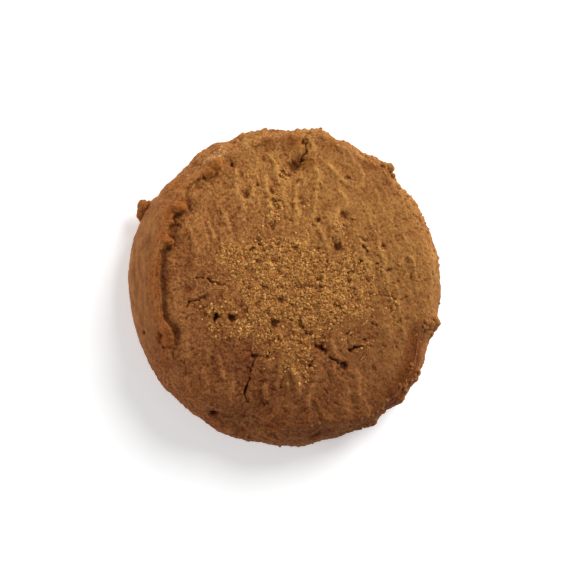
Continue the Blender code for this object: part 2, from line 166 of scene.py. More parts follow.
# Pits: (x, y, radius, depth)
PITS = (
    (-0.6, 18.5, 0.85, 0.7), (-10.7, 18.6, 0.4, 0.6), (-9.3, 16.8, 0.3, 0.4),
    (-8.5, 13.5, 0.55, 0.4), (-4.5, 14, 0.35, 0.4), (-4, 12.7, 0.4, 0.4), (-3.7, 11.4, 0.4, 0.45),
    (-4.4, 8.5, 0.5, 0.5), (-5.5, 19.5, 0.25, 0.3), (-6.4, 10.6, 0.25, 0.4),
    (-6.6, 15.3, 0.25, 0.3), (-14, 15.7, 0.3, 0.3), (-0.3, 15.8, 0.25, 0.45),
    (0.3, 13.3, 0.3, 0.45), (0.5, 12.5, 0.25, 0.4), (3, 9.7, 0.4, 0.6), (3.8, 10.1, 0.3, 0.4),
    (7.4, 10.5, 0.65, 0.5), (12.3, 9.4, 0.25, 0.35), (6.1, 5.4, 0.6, 0.6), (2.9, 4.9, 0.35, 0.5),
    (-0.9, 5.2, 0.5, 0.5), (-6.7, 5.7, 0.5, 0.55), (14.7, 2, 0.28, 0.5), (12.6, 2.9, 0.2, 0.4),
    (11.5, 3.6, 0.2, 0.4), (16.3, 0.3, 0.16, 0.3), (15.2, -2.4, 0.18, 0.35),
    (-13.2, -5.7, 0.65, 1.1), (-10.9, -6, 0.6, 0.85), (-18.2, -5.2, 0.25, 0.35),
    (-3.8, -6.7, 0.65, 0.6), (-1.2, -8.6, 0.45, 0.5), (-3.2, -3.3, 0.35, 0.5),
    (-6.6, 2.5, 0.35, 0.4), (-5.9, -1.1, 0.3, 0.35), (3.4, -0.9, 0.3, 0.35),
    (7.4, -13.4, 0.6, 0.75), (1.6, -13.7, 0.35, 0.5), (9.2, -3.3, 0.3, 0.4),
    (11.9, -5.6, 0.25, 0.3), (16.3, -10.3, 0.25, 0.35), (12.4, -13.7, 0.3, 0.35),
    (3.9, -21.5, 0.45, 0.3), (12.8, -3.4, 0.25, 0.3), (4.5, 2.8, 0.35, 0.45),
    (5.7, -6.1, 0.3, 0.4),
)

# Broad mounds and hollows of the top: (x, y, radius, push)
MOUNDS = (
    (-0.4, 23, 1.5, 0.8), (-4.5, 22.6, 1.1, 0.45), (-13.6, 18, 1.4, 0.7), (6.3, 22.3, 1.2, 0.5),
    (0.4, 19, 1.4, -1.1), (-10.6, 19.1, 1.2, -0.6), (3, -20.3, 1, -0.25), (8.9, -19.4, 1, -0.3),
    (10.5, 3.5, 3, 0.2), (7.4, 10.4, 1, -0.25), (6.1, 5.4, 0.9, -0.3), (-8.5, 13.4, 0.9, -0.25),
)

# Cracks: half width, depth, and the x and y of each point of its run
CRACKS = (
    (0.11, 0.8, 1.2, 22.9, 1.6, 21.7, 1.3, 20.7, 0.7, 19.7), (0.13, 0.5, -2.7, 17.5, -1.9, 16.9),
    (0.08, 0.35, 7.7, 17, 9.4, 17), (0.1, 0.5, 3.7, 15.8, 3.7, 14.9),
    (0.09, 0.45, -12.6, 11.6, -12.3, 10.5), (0.13, 0.5, -16.5, 0.3, -15.8, 0.4),
    (0.14, 0.7, -14.8, 0.2, -14.1, -0.3), (0.09, 0.35, -14.1, -0.3, -12.7, -1.2),
    (0.12, 0.55, -17.9, -4.3, -17, -3.7, -15.9, -3.2), (0.08, 0.35, -15.9, -3.2, -14.5, -2.9),
    (0.09, 0.35, -18, -6.2, -16.8, -5.6), (0.12, 0.45, -13.4, -4.6, -13.4, -5.4),
    (0.13, 0.55, 9.7, 7.6, 10.5, 7, 11.2, 7.1), (0.12, 0.45, 10.3, 5.4, 10.8, 4.7),
    (0.12, 0.5, 9.7, 3.4, 8.9, 2.1, 8.2, 1.1), (0.1, 0.4, 13.7, 5.7, 14.4, 5.8),
    (0.1, 0.4, 11.1, 0.3, 11.7, -0.2), (0.07, 0.3, 17.7, 10.1, 19.5, 10.7),
    (0.12, 0.45, 5.1, 7, 5.4, 6.3), (0.08, 0.4, 16.8, -2.6, 17.9, -2.4),
    (0.1, 0.4, 15.3, -2.2, 15.6, -3),
    (0.12, 0.55, -6.7, -11.6, -7.3, -12.4, -7.7, -13.8, -8, -14.4),
    (0.1, 0.5, -5.1, -11.4, -5.3, -12.5), (0.07, 0.3, -6.5, -11.8, -5.4, -12.5),
    (0.11, 0.5, -7.9, -15.8, -8.3, -16.8), (0.2, 0.85, -8.3, -16.8, -8.4, -18),
    (0.07, 0.3, -8.3, -18, -8, -19.1), (0.1, 0.4, -5, -19.3, -5.5, -20.3),
    (0.22, 0.6, 2.8, -10.4, 4, -11.3), (0.14, 0.6, 5, -12.3, 5.7, -12.6, 6.4, -13.1),
    (0.15, 0.8, 7.8, -11, 8.6, -10.9, 9, -10.4, 9.9, -10.3), (0.1, 0.5, 10, -9.6, 10.9, -9.5),
    (0.09, 0.4, 1.7, -13.6, 2.2, -12.5), (0.11, 0.5, 7.4, -8.4, 7.9, -8.7),
    (0.09, 0.4, 12.1, -6.6, 12.7, -6.9), (0.08, 0.35, 4.5, -17, 5, -18),
    (0.07, 0.25, 5.1, -14.3, 5.7, -16), (0.08, 0.35, -3.4, -9.4, -2.5, -9.9),
    (0.1, 0.45, -1.6, -6.2, -0.9, -6.7), (0.3, 0.15, -12, -20.9, -8.6, -21.3, -6.2, -21.3),
)

# Drawn-up ridges: the x and y of each point of a run
RIDGES = (
    (2.8, 18.2, 3.1, 15.9, 2.5, 12.9, 2.1, 9.6, 2.9, 8.8, 3.3, 7.2, 3.6, 6.4),
    (5, 19, 5.9, 18, 6.7, 17.2, 7.2, 16.6), (6.9, 14.2, 7.5, 13.1, 8.1, 12.5),
    (6.4, 11.7, 6.4, 10.3, 6, 8.9), (10.4, 19.1, 10.8, 17.4, 10.5, 15.7),
    (11.4, 12.5, 11.5, 10.8, 11.8, 9.3, 12.3, 8.9), (12.9, 14.9, 13.8, 12.2, 14.2, 10.9),
    (9.2, 8.1, 9.8, 7, 9.9, 5.2, 10.3, 4.1), (14.8, 12.3, 15.4, 9.9),
    (-0.5, 15, -0.4, 13.6, -0.8, 11.7, -0.4, 10), (5.1, 7.8, 4.8, 6.8, 4.4, 5.3),
    (-4.3, 19.9, -3.8, 18.5, -3.6, 17.5, -3.2, 15.7), (-5.3, 15.8, -5.2, 14, -5.2, 11.2),
    (-10, 17.4, -9.9, 15.1, -9.7, 13.1, -9.2, 12.2, -9.1, 10.2, -9.2, 9.2),
    (-7.4, 15.1, -7.8, 13.2, -8.5, 12.3), (-0.8, 12.5, -0.7, 11, -0.9, 8.4),
    (-15.4, 17.7, -15.1, 15.7), (12.8, 5.6, 13.7, 3.1, 14.5, -0.1, 15.2, -3, 15.6, -5.8),
    (11.1, 3, 11.9, 0.1, 12.6, -3.1), (7.7, 2.9, 8.4, 0, 8.7, -3.2),
    (17.3, 8.1, 18.4, 5.3, 19.3, 2, 19.6, -1.2), (16.1, -2.9, 17, -5.8, 17.6, -8.5),
    (5.1, -9.6, 5.7, -12.4, 5.5, -14.6), (7.9, -15.8, 8.3, -18.2, 8.1, -20.2),
    (9.5, -14.5, 10, -17.7), (-12.9, -12.3, -12.3, -13.8, -11.9, -15.4),
    (-15.3, -14.8, -14.5, -16.6), (-14.6, -11.7, -14.3, -13.2), (-10.6, -16.6, -10.7, -18.8),
    (-5.6, -16.8, -5, -18.8), (-2.5, -10.5, -3, -13.1, -3.5, -16.6),
    (-1.2, -13.7, -0.1, -16.7, 0, -18.7), (2.4, -15.3, 2, -17.5, 1.6, -19.7),
    (-17.9, 9.2, -17.1, 6.6, -16.2, 3.7), (-14.5, 8.9, -13.6, 6), (-12.1, 10.5, -11.5, 7.9),
    (-20.5, -3.5, -19.8, -6.3), (1.7, 23.9, 2.9, 21.1), (8.3, 23, 9.4, 19.7),
)

# Where the dough is browned to orange: (x, y, half width, strength)
BROWNED = (
    (-0.3, 22.9, 1.7, 1.2), (2, 19.2, 0.9, 0.8), (6.2, 22.3, 1.1, 1.1), (13, 19.7, 1.4, 0.9),
    (15.6, 19.6, 1.2, 0.5), (-4.5, 22.5, 1.1, 1), (1, 22.4, 1, 0.6), (-18.6, 15.6, 1.6, 1),
    (-20.6, -12.6, 1, 0.9), (-12.6, -22.9, 1.8, 0.8), (-3.6, -22.8, 1.8, 0.8), (-13.6, 18, 1.6, 1),
    (-16.6, -18.2, 2.4, 0.5), (4.4, 12.2, 0.9, 0.4), (7.9, 7.4, 0.9, 0.5), (1.4, -3, 1, 0.4),
    (22.2, -3.1, 1, 0.6), (22.3, -6.4, 1.2, 0.9), (21.4, -9, 1.3, 0.9), (20.6, -11.1, 1.4, 1),
    (19.7, -13.1, 1.5, 1), (18.7, -15.1, 1.4, 1), (17.5, -16.9, 1.3, 0.8),
)

# Lumps of dough on the left roll: (x, y, radius, how far the middle stands out of the skin)
ROLL_CRUMBS = (
    (-18.7, 11.4, 0.9, -0.3), (-19.5, 9, 0.6, -0.2), (-20.6, 7.4, 0.65, -0.25),
    (-20.9, 5.9, 0.9, -0.3), (-20.3, 5.3, 0.6, -0.15), (-13.2, 18.2, 1.1, -0.8),
    (-14.2, 17.2, 0.8, -0.5), (-20.9, -8, 0.75, -0.3), (-21.4, -9.1, 0.9, -0.35),
    (-20.7, -9.5, 0.95, -0.35), (-20.3, -10.3, 0.8, -0.3), (-21.2, -10.2, 0.7, -0.3),
)

# Balls of dough hanging on the wall: (angle, height, radius, how far the middle stands out)
WALL_BALLS = (
    (152.4, 3, 1.1, 0.65), (151, 3.2, 0.7, 0), (153.8, 2.8, 0.9, 0.3), (155.2, 2.6, 0.62, 0.45),
    (156.2, 2, 0.5, 0.2), (50.3, 8.3, 0.9, 0.15), (47.2, 7.6, 0.5, 0.2), (52.6, 8.7, 0.5, 0.2),
)

# Where pale crumbs lie along the wall's upper edge: the x and y of each point of a run
PALE_RUN = (-17.3, 17.6, -16.0, 18.6, -14.7, 19.5, -13.6, 20.3, -12.6, 20.7, -11.3, 21.0)

# Paints of the grains: dark and light colour, roughness, specular
GRAIN_PAINTS = {
    "golden_crumb": ((144, 84, 32), (228, 172, 95), 0.7, 0.3),
    "brown_crumb": ((118, 64, 23), (192, 132, 62), 0.8, 0.2),
    "pale_fleck": ((168, 118, 64), (212, 166, 104), 0.6, 0.35),
}

# Grains: name, paint, where they lie, count, smallest and largest radius, share that is sunk, seed,
# palest tone, how far they are drawn out
GRAINS = (
    ("golden_crumb_grains", "golden_crumb", "crumb", 5200, (0.11, 0.24), 0.4, 72, 1.0, 0.35),
    ("brown_crumb_grains", "brown_crumb", "strays", 4200, (0.13, 0.28), 0.45, 73, 1.0, 0.35),
    ("crumb_chips", "golden_crumb", "heart", 600, (0.16, 0.38), 0.55, 92, 0.8, 0.6),
    ("pale_flecks", "pale_fleck", "far edge", 90, (0.1, 0.24), 0.3, 74, 0.9, 0.6),
)

# Camera: the photo's viewing angle
TILT, TURN, DISTANCE, LENS = 13.0, 205.5, 350.0, 136.0
AIM = (-0.36, 0.17, 3.0)

# Floor's half width, its height, and a length longer than any distance on the cookie
FLOOR_REACH, FLOOR_HEIGHT, FAR = 600.0, -0.02, 99.0
WHITE = (1.0, 1.0, 1.0, 1.0)


# Shape maths on whole arrays

def smooth_step(value, low, high):
    """0 below low, 1 above high, 3t^2 - 2t^3 between them."""
    share = np.clip((value - low) / (high - low), 0.0, 1.0)
    return share * share * (3.0 - 2.0 * share)


def angle_between(angle, centre):
    """Signed turn from centre to angle, wrapped to -180..180."""
    return (angle - centre + 180.0) % 360.0 - 180.0


def stretch_of_rim(angle, centre, half_width, softness):
    """1 within half_width of the centre angle, an S curve of the softness at both ends."""
    away = np.abs(angle_between(angle, centre))
    return 1.0 - smooth_step(away, half_width - softness, half_width + softness)


def bumps(angle, rows):
    """Sum of height * exp(-(turn / half width)^2) over rows of (angle, half width, height)."""
    return sum(row[2] * np.exp(-(angle_between(angle, row[0]) / row[1]) ** 2) for row in rows)


def lattice_value(seed, column, row, layer=0):
    """Repeatable value from -1 to 1 for a whole-numbered lattice point, by integer mixing."""
    mixed = (column * 374761393 + row * 668265263 + layer * 1274126177 + seed * 97531) & 0xFFFFFFFF
    mixed = ((mixed ^ (mixed >> 13)) * 1103515245) & 0xFFFFFFFF
    return (mixed ^ (mixed >> 16)) / 2147483648.0 - 1.0


def noise(seed, place, size):
    """Value noise with bumps of a size, or of one on each axis: the lattice values round a point,
    blended with 3t^2 - 2t^3."""
    place = [part / length for part, length in zip(place, np.broadcast_to(size, len(place)))]
    corner = [np.floor(part).astype(np.int64) for part in place]
    share = [part - floor for part, floor in zip(place, corner)]
    share = [part * part * (3.0 - 2.0 * part) for part in share]
    total = np.zeros_like(share[0])
    for step in np.ndindex(*[2] * len(place)):
        weight = np.ones_like(total)
        for far, part in zip(step, share):
            weight = weight * (part if far else 1.0 - part)
        total += weight * lattice_value(seed, *(low + far for low, far in zip(corner, step)))
    return total


def layers(place, rows):
    """Sum of height * value noise over rows of (height, seed, size)."""
    return sum(height * noise(seed, place, size) for height, seed, size in rows)


def worms(seed, place, size):
    """Winding raised lines or sheets: 1 - 4 |value noise|, cut at -1."""
    return np.maximum(1.0 - 4.0 * np.abs(noise(seed, place, size)), -1.0)


def cells(seed, place, size):
    """Distances, in sizes, to the nearest and second nearest of one jittered point a lattice
    square, and the nearest's own value from -1 to 1."""
    x, y = (part / length for part, length in zip(place, np.broadcast_to(size, 2)))
    column, row = np.floor(x).astype(np.int64), np.floor(y).astype(np.int64)
    nearest, second, own = np.full_like(x, FAR), np.full_like(x, FAR), np.zeros_like(x)
    for step_x, step_y in np.ndindex(3, 3):
        here, there = column + step_x - 1, row + step_y - 1
        point_x = here + 0.5 + CELL_JITTER * lattice_value(seed, here, there, 1)
        point_y = there + 0.5 + CELL_JITTER * lattice_value(seed, here, there, 2)
        away = np.hypot(x - point_x, y - point_y)
        second = np.where(away < nearest, nearest, np.minimum(second, away))
        own = np.where(away < nearest, lattice_value(seed, here, there, 3), own)
        nearest = np.minimum(nearest, away)
    return nearest, second, own


def knobs(seed, place, size):
    """Rounded knobs: 1 - (distance / 0.8 size)^2 from the nearest jittered lattice point, 0 where
    that is negative."""
    spot = [np.floor(part / size).astype(np.int64) for part in place]
    nearest = np.full_like(place[0], FAR)
    for step in np.ndindex(3, 3, 3):
        here = [low + far - 1 for low, far in zip(spot, step)]
        away = 0.0
        for axis, part in enumerate(place):
            point = here[axis] + 0.5 + KNOB_JITTER * lattice_value(seed + axis, *here)
            away = away + (part / size - point) ** 2
        nearest = np.minimum(nearest, away)
    return np.maximum(1.0 - nearest / 0.8 ** 2, 0.0)


def distance_to_run(x, y, run):
    """Distance to the nearest stretch of a run, given as the x and y of its points in turn, and 1
    or -1 for the side of it."""
    nearest, side = np.full_like(x, FAR), np.ones_like(x)
    for start_x, start_y, end_x, end_y in zip(run[::2], run[1::2], run[2::2], run[3::2]):
        along_x, along_y = end_x - start_x, end_y - start_y
        from_x, from_y = x - start_x, y - start_y
        share = (from_x * along_x + from_y * along_y) / (along_x ** 2 + along_y ** 2)
        share = np.clip(share, 0.0, 1.0)
        away = np.hypot(from_x - share * along_x, from_y - share * along_y)
        side = np.where(away < nearest, np.sign(along_x * from_y - along_y * from_x), side)
        nearest = np.minimum(nearest, away)
    return nearest, side


def blend(heights, parts):
    """Sum of height * part over a table of named heights."""
    return sum(height * parts[name] for name, height in heights.items())


# The skin's rings

def section_rings():
    """Radius, height and spacing of each ring of points, from the top pole to the bottom one. Dome:
    height falls with the radius squared. Rim: arc of a circle. Wall: radius grows with the sine of
    the drop. Foot: quarter ellipse."""
    edge, rise = RIM_RADIUS - RIM_ROUND, DOME_HEIGHT - RIM_HEIGHT
    slope = math.atan(2.0 * rise / edge)
    dome, base = np.linspace(0.0, edge, 600), np.linspace(BASE_RADIUS, 0.0, 200)
    turn = np.linspace(slope, 0.5 * math.pi, 60)
    round_radius = edge + RIM_ROUND * (np.sin(turn) - math.sin(slope))
    round_height = RIM_HEIGHT - RIM_ROUND * (math.cos(slope) - np.cos(turn))
    top_radius, top_height = round_radius[-1], round_height[-1]
    drop = np.linspace(0.0, 1.0, 120)
    wall_radius = top_radius + (WIDEST_RADIUS - top_radius) * np.sin(0.5 * math.pi * drop)
    wall_height = top_height + (WIDEST_HEIGHT - top_height) * drop
    turn = np.linspace(0.0, 0.5 * math.pi, 60)
    foot_radius = BASE_RADIUS + (WIDEST_RADIUS - BASE_RADIUS) * np.cos(turn)
    stretches = (
        (dome, RIM_HEIGHT + rise * (1.0 - (dome / edge) ** 2), TOP_CELL),
        (round_radius, round_height, ROUND_CELL), (wall_radius, wall_height, WALL_CELL),
        (foot_radius, WIDEST_HEIGHT * (1.0 - np.sin(turn)), FOOT_CELL),
        (base, 0.0 * base, BASE_CELL),
    )
    radius, height, cell = (np.concatenate([row[part] + 0.0 * row[0] for row in stretches])
                            for part in range(3))
    steps = np.hypot(np.diff(radius), np.diff(height))
    passed = np.concatenate(([0.0], np.cumsum(steps / (0.5 * (cell[1:] + cell[:-1])))))
    rings = np.linspace(0.0, passed[-1], int(round(passed[-1])) + 1)
    return [np.interp(rings, passed, part) for part in (radius, height, cell)]


def stitch(ring, other):
    """Triangles on the edges of one ring, each closed by the nearest point of the other. A ring is
    its first point, number of points and turn."""
    first, count, phase = ring
    other_first, other_count, other_phase = other
    step = np.arange(count if count > 1 else 0)
    middle = (step + 0.5 + phase) / count
    nearest = np.floor(middle * other_count - other_phase + 0.5).astype(int) % other_count
    return np.column_stack((first + step, other_first + nearest, first + (step + 1) % count))


def skin_grid():
    """Radius, angle and height of every point of the skin, and its triangles. A ring of radius r
    has 2 pi r / spacing points and is turned by the golden share from the last."""
    radius, height, cell = section_rings()
    counts = np.maximum(np.round(2.0 * math.pi * radius / cell).astype(int), 8)
    counts[0] = counts[-1] = 1
    starts = np.cumsum(counts) - counts
    phases = (GOLDEN_SHARE * np.arange(len(counts))) % 1.0
    within = np.arange(counts.sum()) - np.repeat(starts, counts)
    angle = 360.0 * (within + np.repeat(phases, counts)) / np.repeat(counts, counts)
    rings = list(zip(starts, counts, phases))
    faces = [part for upper, lower in zip(rings, rings[1:])
             for part in (stitch(upper, lower), stitch(lower, upper)[:, ::-1])]
    radius, height = np.repeat(radius, counts), np.repeat(height, counts)
    return radius, angle % 360.0, height, np.concatenate(faces)


def point_normals(points, faces):
    """Unit normal of each point: the sum of the cross products of its triangles' sides."""
    across = np.cross(points[faces[:, 1]] - points[faces[:, 0]],
                      points[faces[:, 2]] - points[faces[:, 0]])
    total = np.zeros_like(points)
    for corner in faces.T:
        np.add.at(total, corner, across)
    return total / np.maximum(np.linalg.norm(total, axis=1, keepdims=True), 1e-12)


# The cookie's own form, as in the solid

def outline_offset(angle):
    """Wall's stand-out: sum of depth * cos(waves * turn) over the lobes, plus the bulges."""
    lobes = sum(depth * np.cos(np.radians(waves * (angle - crest)))
                for waves, depth, crest in OUTLINE_LOBES)
    return lobes + bumps(angle, WALL_BULGES) + bumps(angle, SIDE_SWELLS)


def rim_offset(angle):
    """Rim's stand-out: the wall's, less each inset on its stretch of the rim."""
    return outline_offset(angle) - sum(inset * stretch_of_rim(angle, *stretch)
                                       for *stretch, inset in RIM_INSETS)


def left_roll(angle, across):
    """Left roll, read along its stations: its height exp(-u^4) on the inner side and exp(-u^3) on
    the outer, with u the distance from its middle over its half width. Also its groove, easing
    inwards as exp(-u^2), its share of the rim, its shadow and its band."""
    angle = angle + 0.5 * noise(94, (angle, across), (1.6, 0.8))
    stations = list(zip(*ROLL_STATIONS))
    inner, outer, stand, hollow = (np.interp(angle, stations[0], column) for column in stations[1:])
    middle = 0.4 * inner + 0.6 * outer - 0.2
    from_middle, inside = across - middle, inner - across
    width = np.where(from_middle < 0.0, middle - inner - ROLL_LEAN * stand, ROLL_OUTER_WIDTH)
    steepness = np.where(from_middle < 0.0, 4.0, 3.0)
    roll = stand * np.exp(-np.abs(from_middle / width) ** steepness)
    easing = np.exp(-(np.maximum(inside, 0.0) / GROOVE_WIDTH) ** 2)
    groove = hollow * smooth_step(inside, -0.4, 0.1) * easing
    band = smooth_step(-inside, -0.25, 0.05) * (1.0 - smooth_step(across - outer, 0.6, 3.4))
    shadow = hollow * smooth_step(inside, -0.15, 0.05) * (1.0 - smooth_step(inside, 0.0, 1.5))
    return roll, groove, np.clip(1.25 * stand, 0.0, 1.0), shadow, band


def wall_distance(angle, height, spot_angle, spot_height):
    """Square of the distance on the wall to a spot on it."""
    along = np.radians(angle_between(angle, spot_angle)) * WIDEST_RADIUS
    return along ** 2 + (height - spot_height) ** 2


def wall_lumps(angle, height):
    """Sum of push * exp(-(distance / half width)^2) over the wall's lumps."""
    return sum(push * np.exp(-wall_distance(angle, height, *spot) / half_width ** 2)
               for *spot, half_width, push in WALL_LUMPS)


def wall_holes(angle, height):
    """The most of depth * exp(-(distance / radius)^4) over the holes in the side."""
    return np.max([depth * np.exp(-(wall_distance(angle, height, *spot) / radius ** 2) ** 2)
                   for *spot, radius, depth in WALL_HOLES], axis=0)


def push_out_of_round(radius, angle, height):
    """New radius: plus the rim's offset on top, blending to the wall's down the wall."""
    outward = smooth_step(radius, 0.45 * RIM_RADIUS, RIM_RADIUS - RIM_ROUND)
    down = smooth_step(RIM_HEIGHT - height, 0.6 * RIM_ROUND, RIM_HEIGHT - WIDEST_HEIGHT)
    down = np.where(radius > RIM_RADIUS - RIM_ROUND, down, 0.0)
    under = (height < FLAT_BASE) & (radius < 0.5 * BASE_RADIUS)
    offset = outward * rim_offset(angle) * (1.0 - down) + down * outline_offset(angle)
    offset += outward * wall_lumps(angle, height)
    return radius + np.where(under, 0.0, offset)


def rim_across(radius, angle, height):
    """Distance outwards across the rim from its crest, measured on down the wall."""
    across = radius - (RIM_RADIUS - 0.5 * RIM_ROUND + rim_offset(angle))
    across = np.where(across > 0.0, across + np.maximum(RIM_HEIGHT - height, 0.0), across)
    return np.where(height < 0.5 * WIDEST_HEIGHT, WIDEST_RADIUS, across)


def cookie_skin():
    """Points, triangles and measures of the skin before its fine relief: the solid's form, with the
    rim eased beside the roll."""
    radius, angle, height, faces = skin_grid()
    on_base = height < FLAT_BASE
    radius = push_out_of_round(radius, angle, height)
    across = rim_across(radius, angle, height)
    roll, groove, share, shadow, band = left_roll(angle, across)
    along_lip = stretch_of_rim(angle, *LIP_STRETCH)
    lip = along_lip * np.exp(-((across - LIP_OUT) / LIP_WIDTH) ** 2)
    lip_band = along_lip * smooth_step(across, -2.8, -0.8) * (1.0 - smooth_step(across, 3.5, 5.5))
    eased = (1.0 - share) * np.exp(-(across / RIM_SOFT_WIDTH) ** 2)
    height = height + ROLL_HEIGHT * roll - GROOVE_DEPTH * groove + LIP_HEIGHT * lip
    height = height - RIM_SOFTENING * eased * (1.0 - lip)
    radius = radius - ROLL_LEAN * roll
    turn = np.radians(angle)
    x, y = radius * np.cos(turn), radius * np.sin(turn)
    on_top = smooth_step(height, RIM_HEIGHT - 2.0 * RIM_ROUND, RIM_HEIGHT)
    slow = noise(SLOW_SEED, (x, y, height), SLOW_SPACING)
    drag = noise(DRAG_SEED, (slanted(x, y), y), (DRAG_SPACING, DRAG_LENGTH))
    height = height + np.where(on_base, 0.0, on_top * (DRAG_DEPTH * drag + SLOW_DEPTH * slow))
    swell = np.where(on_base, 0.0, (1.0 - on_top) * SLOW_DEPTH * slow)
    x = x + swell * np.cos(turn) + CENTRE_SHIFT[0]
    y = y + swell * np.sin(turn) + CENTRE_SHIFT[1]
    at = SimpleNamespace(angle=angle, across=across, roll=roll, groove=groove, lip=lip,
                         on_top=on_top, on_base=on_base, shadow=shadow, band=share * band,
                         lip_band=lip_band, lip_shadow=along_lip * np.exp(-(across + 0.2) ** 2))
    return np.column_stack((x, y, height)), faces, at


# Fine relief

def slanted(x, y):
    """Place across the drag of the dough: x slanted and fanned with y."""
    return x + y * (DRAG_SLANT + DRAG_FANNING * x)


def lie_of_dough(x, y):
    """Place in the drawn-out dough, pushed about by noise, and the push."""
    warp_x, warp_y = layers((x, y), WARP_X), layers((x, y), WARP_Y)
    return slanted(x, y) + warp_x, y + warp_y, warp_x, warp_y


def crumb_share(x, y):
    """How torn the top is, 0 to 1: the strongest of the clusters, ellipses with noisy edges."""
    ragged = layers((x, y), TORN_EDGE)
    share = np.zeros_like(x)
    for centre_x, centre_y, half_x, half_y, strength in CRUMB_CLUSTERS:
        away = np.hypot((x - centre_x) / half_x, (y - centre_y) / half_y) + ragged
        share = np.maximum(share, strength * (1.0 - smooth_step(away, 0.55, 1.05)))
    return share


def crust_relief(x, y):
    """Crust of the top: its raised parts, its ridges, steep on one side, and its holes and seams
    from 0 to 1. Raised are swells, flat facets (cells, each with its own height), broken trails,
    cobbles and pillows, less small pocks."""
    drawn_x, drawn_y, warp_x, warp_y = lie_of_dough(x, y)
    pushed = (x + 0.5 * warp_x, y + 0.5 * warp_y)
    nearest, second, own = cells(81, (drawn_x + 0.5 * warp_x, drawn_y), (1.6, 3.8))
    facets = own * smooth_step(second - nearest, 0.0, 0.3)
    broken = smooth_step(noise(66, (x, y), (1.8, 3.0)), -0.3, 0.4)
    trails = np.maximum(worms(93, (drawn_x + 0.4 * warp_x, drawn_y), (1.9, 9.0)), 0.0) ** 2
    ridges = np.zeros_like(x)
    for run in RIDGES:
        away, side = distance_to_run(*pushed, run)
        ridges = np.maximum(ridges, np.exp(-(away / np.where(side > 0.0, *RIDGE_WIDTHS)) ** 2))
    ridges = ridges * (0.8 + 0.4 * noise(95, (x, y), 0.8))
    nearest, _, own = cells(90, pushed, (0.85, 0.95))
    cobbles = (0.6 + 0.4 * own) * (0.6 - nearest ** 2)
    turned = (0.8 * x + 0.6 * y + 0.4 * warp_y, 0.8 * y - 0.6 * x + 0.4 * warp_x)
    pocks = smooth_step(noise(91, turned, (0.36, 0.4)), 0.1, 0.8)
    holes = smooth_step(noise(96, pushed, (0.6, 0.7)), 0.4, 0.85)
    holes = holes * (0.3 + 0.7 * smooth_step(noise(37, (x, y), 2.4), -0.6, 0.3))
    nearest, second, _ = cells(38, (drawn_x + warp_x, drawn_y - warp_y), (1.7, 2.1))
    middle_x, middle_y, half_x, half_y = PILLOWED
    pillowed = np.exp(-np.hypot((x - middle_x) / half_x, (y - middle_y) / half_y) ** 2)
    seams = np.exp(-((second - nearest) / SEAM_WIDTH) ** 2)
    seams = seams * smooth_step(noise(39, (x, y), 1.3) + 1.1 * pillowed, 0.5, 1.0)
    raised = blend(CRUST_HEIGHTS, {
        "swells": layers((drawn_x, drawn_y), SWELLS), "facets": facets, "trails": trails * broken,
        "cobbles": cobbles, "pocks": pocks, "pillows": pillowed * (0.35 - nearest ** 2)})
    return raised, ridges, holes, seams


def crumb_relief(x, y):
    """Open crumb: rounded grains of two sizes and winding curls, with voids between its clumps.
    Also the voids from 0 to 1."""
    _, _, warp_x, warp_y = lie_of_dough(x, y)
    nearest, _, own = cells(43, (x + 0.4 * warp_x, y + 0.4 * warp_y), 0.6)
    grains = (0.6 + 0.4 * own) * np.maximum(1.0 - (nearest / 0.62) ** 2, 0.0)
    nearest, _, own = cells(44, (x, y), 0.4)
    fine_grains = (0.5 + 0.5 * own) * np.maximum(1.0 - (nearest / 0.62) ** 2, 0.0)
    clumps = layers((x, y), CLUMPS)
    voids = smooth_step(-clumps, 0.45, 1.05)
    curls = worms(67, (x + warp_x, y + warp_y), 0.5)
    return blend(CRUMB_HEIGHTS, {"grains": grains, "fine grains": fine_grains, "curls": curls,
                                 "clumps": clumps, "voids": voids}), voids


def flaw_depth(x, y):
    """The most of depth * exp(-(distance / size)^2) over the cracks and exp(-(distance / size)^4)
    over the pits, on places pushed about by noise to make their edges jagged."""
    jag_x, jag_y = x + layers((x, y), JAG_X), y + layers((x, y), JAG_Y)
    ragged = 1.0 + 0.5 * noise(68, (x, y), 0.5)
    hollow = np.zeros_like(x)
    for half_width, depth, *run in CRACKS:
        away, _ = distance_to_run(jag_x, jag_y, run)
        away = away / (half_width + CRACK_SPREAD) * ragged
        hollow = np.maximum(hollow, depth * np.exp(-away ** 2))
    for pit_x, pit_y, pit_radius, depth in PITS:
        away = np.hypot(0.5 * (x + jag_x) - pit_x, 0.5 * (y + jag_y) - pit_y) / pit_radius
        hollow = np.maximum(hollow, 0.85 * depth * np.exp(-(0.9 * away * ragged) ** 4))
    return hollow


def mound_height(x, y):
    """Broad mounds and hollows: sum of push * exp(-(distance / radius)^2)."""
    return sum(push * np.exp(-((x - spot_x) ** 2 + (y - spot_y) ** 2) / radius ** 2)
               for spot_x, spot_y, radius, push in MOUNDS)


